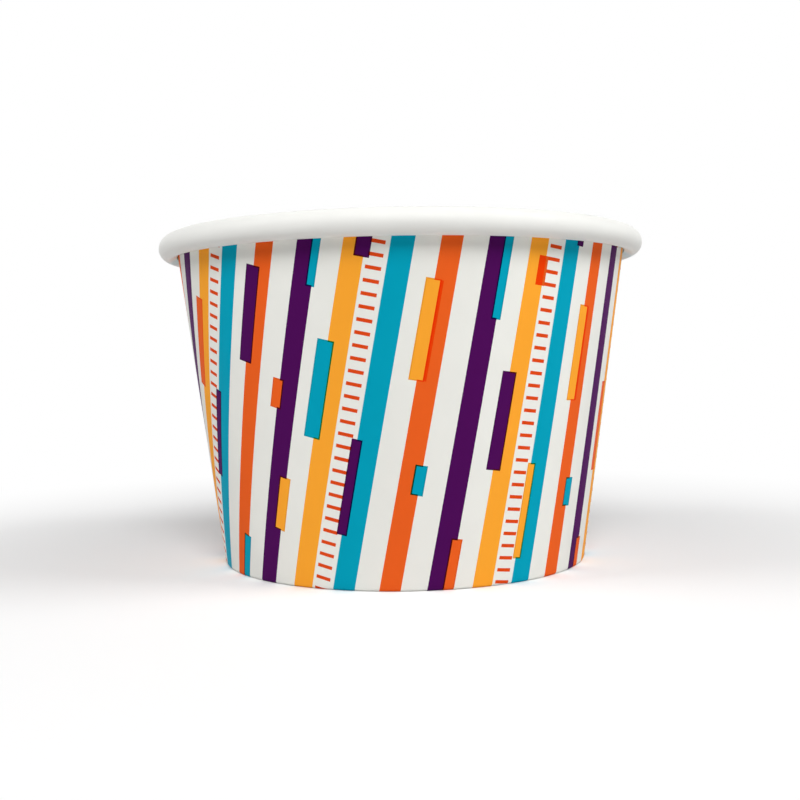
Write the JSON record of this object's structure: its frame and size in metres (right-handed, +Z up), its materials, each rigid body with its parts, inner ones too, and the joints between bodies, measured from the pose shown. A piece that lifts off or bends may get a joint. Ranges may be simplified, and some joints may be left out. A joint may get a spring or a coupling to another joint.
{
  "type": "paper dessert cup",
  "caption": "Round tapered paper cup with a rolled rim, a lapped side seam and a raised floor in a folded foot, for a serving of ice cream or dessert.",
  "frame": {"origin": "on the table under the middle of the cup", "axes": "+Z up along the cup's axis; the side seam is at +Y, behind, and the side that the picture shows faces -Y"},
  "size_m": [0.076, 0.076, 0.051],
  "materials": {
    "printed_board": "satin coated board, printed outside with slanted stripes of yellow, teal, orange and purple on white",
    "plain_board": "satin coated board, unprinted"
  },
  "bodies": {
    "root": {"sidewall": "printed_board", "bottom": "plain_board"}
  },
  "joints": []
}
